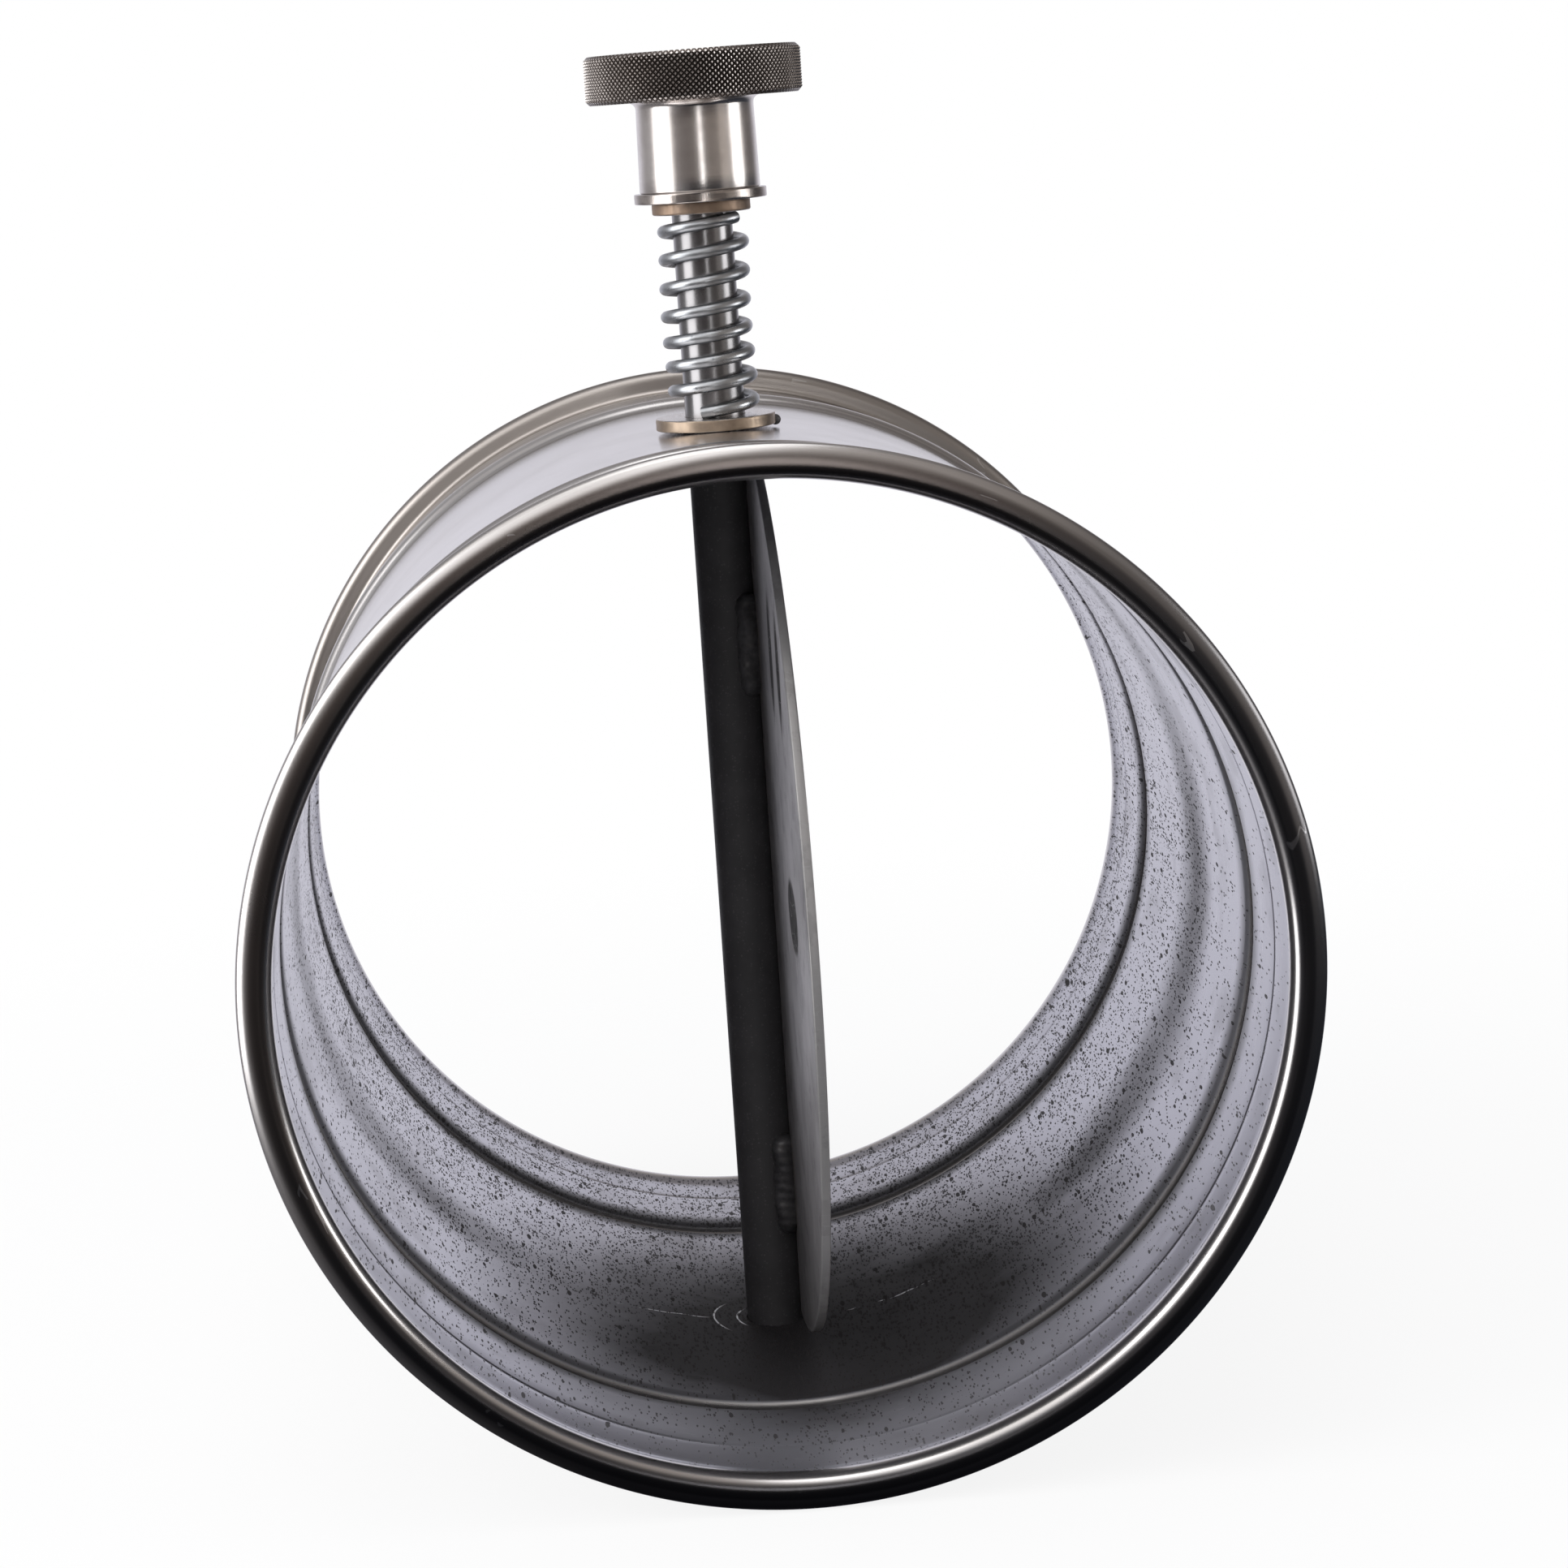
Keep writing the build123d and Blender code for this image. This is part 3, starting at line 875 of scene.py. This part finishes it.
# ---- blade
def blade_disc():
    """A disc standing across X: a closed profile of (radius, x) carried round the X axis, with a softly
    rolled rim. Towards the rim, the radius falls by a few hundredths of a millimetre in waves."""
    edge = 0.3 * MM
    near_x, far_x = blade_low[0], blade_high[0]
    spread = np.linspace(0, 1, 26)[1:] ** 0.8 * (blade_radius - edge)
    profile = np.concatenate(
        [
            np.stack([spread, np.full(len(spread), near_x)], -1),
            arc((blade_radius - edge, near_x + edge), edge, -90, 0, 5)[1:],
            arc((blade_radius - edge, far_x - edge), edge, 0, 90, 5),
            np.stack([spread[::-1], np.full(len(spread), far_x)], -1)[1:],
        ]
    )
    a = around(256)
    r, x = profile[:, :1], profile[:, 1:]
    r = r - 0.06 * MM * (r / blade_radius) ** 8 * (1 + 0.6 * np.sin(9 * a) + 0.4 * np.sin(23 * a + 1))
    points = np.stack([x + 0 * a, shaft_y + r * np.sin(a), axis_height + r * np.cos(a)], -1)
    return capped(points, (near_x, shaft_y, axis_height), (far_x, shaft_y, axis_height))


points, faces = blade_disc()
piece("blade_disc", points, faces, blade_steel, "blade_shaft", "blade")


# ---- spring
def spring_coil():
    """Round wire carried along a right-hand helix whose turns lie a little closer in the middle: height
    rises evenly less a squared sine, and the turns bow slightly to one side. The ends are cut square."""
    steps, sides = 520, 22
    s = np.linspace(0, 1, steps)
    coil_radius = (spring_high[0] - spring_low[0]) / 2 - wire_radius
    angle = spring_start + 2 * np.pi * spring_turns * s
    bottom, top = spring_low[2] + wire_radius, spring_high[2] - wire_radius
    height = bottom + (top - bottom) * s - 0.95 * MM * np.sin(np.pi * s) ** 2
    lean = -0.3 * MM * np.sin(np.pi * s) + 0.08 * MM * np.sin(9 * s)
    path = np.stack([coil_radius * np.cos(angle) + lean, coil_radius * np.sin(angle) + shaft_y, height], -1)
    tangent = np.gradient(path, axis=0)
    tangent /= np.linalg.norm(tangent, axis=1, keepdims=True)
    outward = np.stack([np.cos(angle), np.sin(angle), 0 * angle], -1)
    outward -= tangent * np.sum(outward * tangent, axis=1, keepdims=True)
    outward /= np.linalg.norm(outward, axis=1, keepdims=True)
    upward = np.cross(tangent, outward)
    a = around(sides)[..., None]
    ring = np.cos(a) * outward[:, None] + np.sin(a) * upward[:, None]
    points = path[:, None] + wire_radius * ring
    points[..., 2] = np.clip(points[..., 2], spring_low[2], spring_high[2])
    first = list(range(sides))
    last = [(steps - 1) * sides + k for k in range(sides)]
    faces = [*grid_quads(steps, sides).tolist(), first[::-1], last]
    along = np.repeat(s[:, None] * spring_turns, sides, axis=1)
    round_wire = np.repeat(np.abs(np.linspace(-1, 1, sides))[None, :], steps, axis=0)
    return points, faces, {"along_wire": along, "round_wire": round_wire}


points, faces, marks = spring_coil()
coil = piece("spring_coil", points, faces, spring_wire, "blade_shaft", "spring", attributes=marks)
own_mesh(coil)


# ---- nut
def knurled_nut():
    """A turned profile carried round Z. Over the head's rim the radius follows a diamond knurl: along two
    crossing families of diagonal grooves the depth is the larger of two triangle waves, and the end
    chamfers cut the teeth off. Returns points, triangles and the depth at each point."""
    low, high = nut_low[2], nut_high[2]
    head_low = high - head_thickness
    chamfer = 0.8 * MM
    neck = 1.2 * MM
    hole = shaft_radius + 0.05 * MM
    bore_chamfer = 0.9 * MM
    columns = knurl_count * 2 * knurl_half
    step = 2 * np.pi * head_radius / columns
    band_rows = int(round(head_thickness / step)) + 1
    band = np.linspace(head_low, high, band_rows)
    edge = 0.35 * MM
    before = np.concatenate(
        [
            line((hole, high - bore_chamfer), (hole, low + bore_chamfer), 12),
            line((hole, low + bore_chamfer), (hole + bore_chamfer, low), 2),
            line((hole + bore_chamfer, low), (collar_radius - edge, low), 2)[1:],
            arc((collar_radius - edge, low + edge), edge, -90, 0, 5)[:-1],
            line((collar_radius, low + edge), (collar_top_radius, head_low - neck), 6),
            arc((collar_top_radius + neck, head_low - neck), neck, 180, 90, 8),
        ]
    )
    after = line((head_radius - 1.6 * MM, high), (hole + bore_chamfer, high), 6)
    close = line((hole + bore_chamfer, high), (hole, high - bore_chamfer), 2)[:1]
    start_of_head = np.array([[head_radius - 1.6 * MM, head_low]])
    cone = np.minimum(head_radius, head_radius - chamfer + np.minimum(band - head_low, high - band))
    profile = np.concatenate([before, start_of_head, np.stack([cone, band], -1), after, close])
    first = len(before) + 1
    rows = len(profile)
    k = np.arange(columns)[None, :]
    i = np.arange(band_rows)[:, None]
    u, v = (np.abs((c / knurl_half) % 2 - 1) for c in (k + i, k - i))
    groove = np.clip((np.maximum(u, v) - 0.22) / 0.78, 0, 1)
    radius, height, a = swept(profile, columns)
    radius[first : first + band_rows] = np.minimum(head_radius - knurl_depth * groove, cone[:, None])
    points = np.stack([radius * np.cos(a), radius * np.sin(a) + shaft_y, height], -1)
    depth = np.zeros_like(radius)
    depth[first : first + band_rows] = groove
    quads = grid_quads(rows, columns, close_rows=True)
    row = quads[:, 0] // columns
    in_band = (row >= first) & (row < first + band_rows - 1)
    split = quads[in_band]
    cell_row = row[in_band] - first
    cell_column = split[:, 0] % columns
    rising = ((cell_row // knurl_half + cell_column // knurl_half) % 2 == 0)[:, None]
    one = np.where(rising, split[:, [0, 1, 3]], split[:, [0, 1, 2]])
    two = np.where(rising, split[:, [1, 2, 3]], split[:, [0, 2, 3]])
    return points, [*quads[~in_band].tolist(), *one.tolist(), *two.tolist()], {"knurl_depth": depth}


points, faces, marks = knurled_nut()
nut = piece("nut", points, faces, polished_steel, "nut", "knurled_nut", smooth_to=18, attributes=marks)


# ---- studio
def mix(tree, share, first, second):
    """The first shader where the share is 0, and the second where it is 1."""
    return Wire(add(tree, "ShaderNodeMixShader", {0: share, 1: first, 2: second}))


def studio():
    """A pale floor that fades into a white backdrop, and a dim room in front of the object for the
    polished faces to mirror."""
    floor_mesh = bpy.data.meshes.new("floor")
    reach = 3.0
    corners = [(sx * reach, sy * reach, 0) for sx, sy in ((-1, -1), (1, -1), (1, 1), (-1, 1))]
    floor_mesh.from_pydata(corners, [], [(0, 1, 2, 3)])
    floor = bpy.data.objects.new("floor", floor_mesh)
    bpy.context.scene.collection.objects.link(floor)
    paint = bpy.data.materials.new("floor_paint")
    paint.use_nodes = True
    tree = paint.node_tree
    tree.nodes.clear()
    place = Wire(add(tree, "ShaderNodeTexCoord"), "Object")
    rays = add(tree, "ShaderNodeLightPath")
    matt = Wire(add(tree, "ShaderNodeBsdfDiffuse", {"Color": (0.8, 0.8, 0.8)}))
    glow = Wire(add(tree, "ShaderNodeEmission", {"Color": (1, 1, 1), "Strength": 1.0}))
    clear = Wire(add(tree, "ShaderNodeBsdfTransparent"))
    pale = mix(tree, 0.13, glow, matt)
    seen = mix(tree, place.length().ramp(0.16, 0.42), pale, clear)
    lit = mix(tree, Wire(rays, "Is Camera Ray"), matt, seen)
    add(tree, "ShaderNodeOutputMaterial", {"Surface": mix(tree, Wire(rays, "Is Glossy Ray"), lit, clear)})
    floor_mesh.materials.append(paint)

    world = bpy.data.worlds.new("studio")
    bpy.context.scene.world = world
    world.use_nodes = True
    tree = world.node_tree
    tree.nodes.clear()
    x, y, z = Wire(add(tree, "ShaderNodeTexCoord"), "Generated").parts()
    front = x.ramp(-0.5, 0.6).blend((0.15, 0.125, 0.115), (0.34, 0.30, 0.27))
    room = z.ramp(0.02, 0.5).blend(front, (0.34, 0.305, 0.28))
    sides = x.ramp(-0.6, 0.6).blend((0.46, 0.45, 0.46), (0.20, 0.18, 0.172))
    room = y.ramp(-0.1, 0.15).blend(room, sides)
    under = x.ramp(0.2, 0.9).blend((0.014, 0.014, 0.018), (0.04, 0.045, 0.058))
    under = x.ramp(-0.2, -0.9).blend(under, (0.30, 0.29, 0.30))
    room = z.ramp(-0.12, 0.04).blend(under, room)
    rear = z.ramp(0.12, 0.6).blend((0.88, 0.87, 0.95), (0.36, 0.33, 0.31))
    room = y.ramp(0.55, 0.95).blend(room, rear)
    rays = add(tree, "ShaderNodeLightPath")
    mirrored, ambient, white = (
        Wire(add(tree, "ShaderNodeBackground", {"Color": colour, "Strength": 1.0}))
        for colour in (room, (0.62, 0.62, 0.64), (1, 1, 1))
    )
    first = mix(tree, Wire(rays, "Is Glossy Ray"), ambient, mirrored)
    add(tree, "ShaderNodeOutputWorld", {"Surface": mix(tree, Wire(rays, "Is Camera Ray"), first, white)})


def lamp(name, azimuth, elevation, distance, width, height, power, colour=(1, 1, 1)):
    """A soft panel at an azimuth from -Y towards +X and an elevation, turned towards the middle of the
    part."""
    a, e = math.radians(azimuth), math.radians(elevation)
    aim = np.array([0, 0, axis_height])
    way = np.array([math.sin(a) * math.cos(e), -math.cos(a) * math.cos(e), math.sin(e)])
    data = bpy.data.lights.new(name, "AREA")
    data.shape = "RECTANGLE"
    data.size, data.size_y = width, height
    data.energy = power
    data.color = colour
    made = bpy.data.objects.new(name, data)
    made.location = aim + way * distance
    made.rotation_euler = (math.pi / 2 - e, 0, a)
    made.visible_camera = False
    bpy.context.scene.collection.objects.link(made)


studio()
lamp("left_panel", -74, 12, 1.0, 0.7, 1.2, 9)
lamp("right_panel", 79, 10, 1.0, 0.42, 0.42, 2.0)
lamp("right_fill", 50, 6, 1.0, 0.34, 0.5, 0.16, (1.0, 0.93, 0.86))
lamp("front_strip", 4, 9, 1.2, 0.07, 0.4, 0.5)
lamp("top_panel", -10, 82, 0.9, 0.4, 0.5, 1.2)
lamp("upper_panel", -34, 46, 1.0, 0.95, 1.0, 3.4)


# ---- camera
lens = bpy.data.cameras.new("view")
lens.lens = 82.53
lens.shift_x = 0.142
lens.shift_y = -0.10
lens.clip_start = 0.05
view = bpy.data.objects.new("view", lens)
view.location = (-34.57 * MM, -603.15 * MM, 214.7 * MM)
view.rotation_euler = tuple(math.radians(v) for v in (81.763, 4.226, -1.210))
bpy.context.scene.collection.objects.link(view)
bpy.context.scene.camera = view

bpy.context.scene.view_settings.view_transform = "Standard"
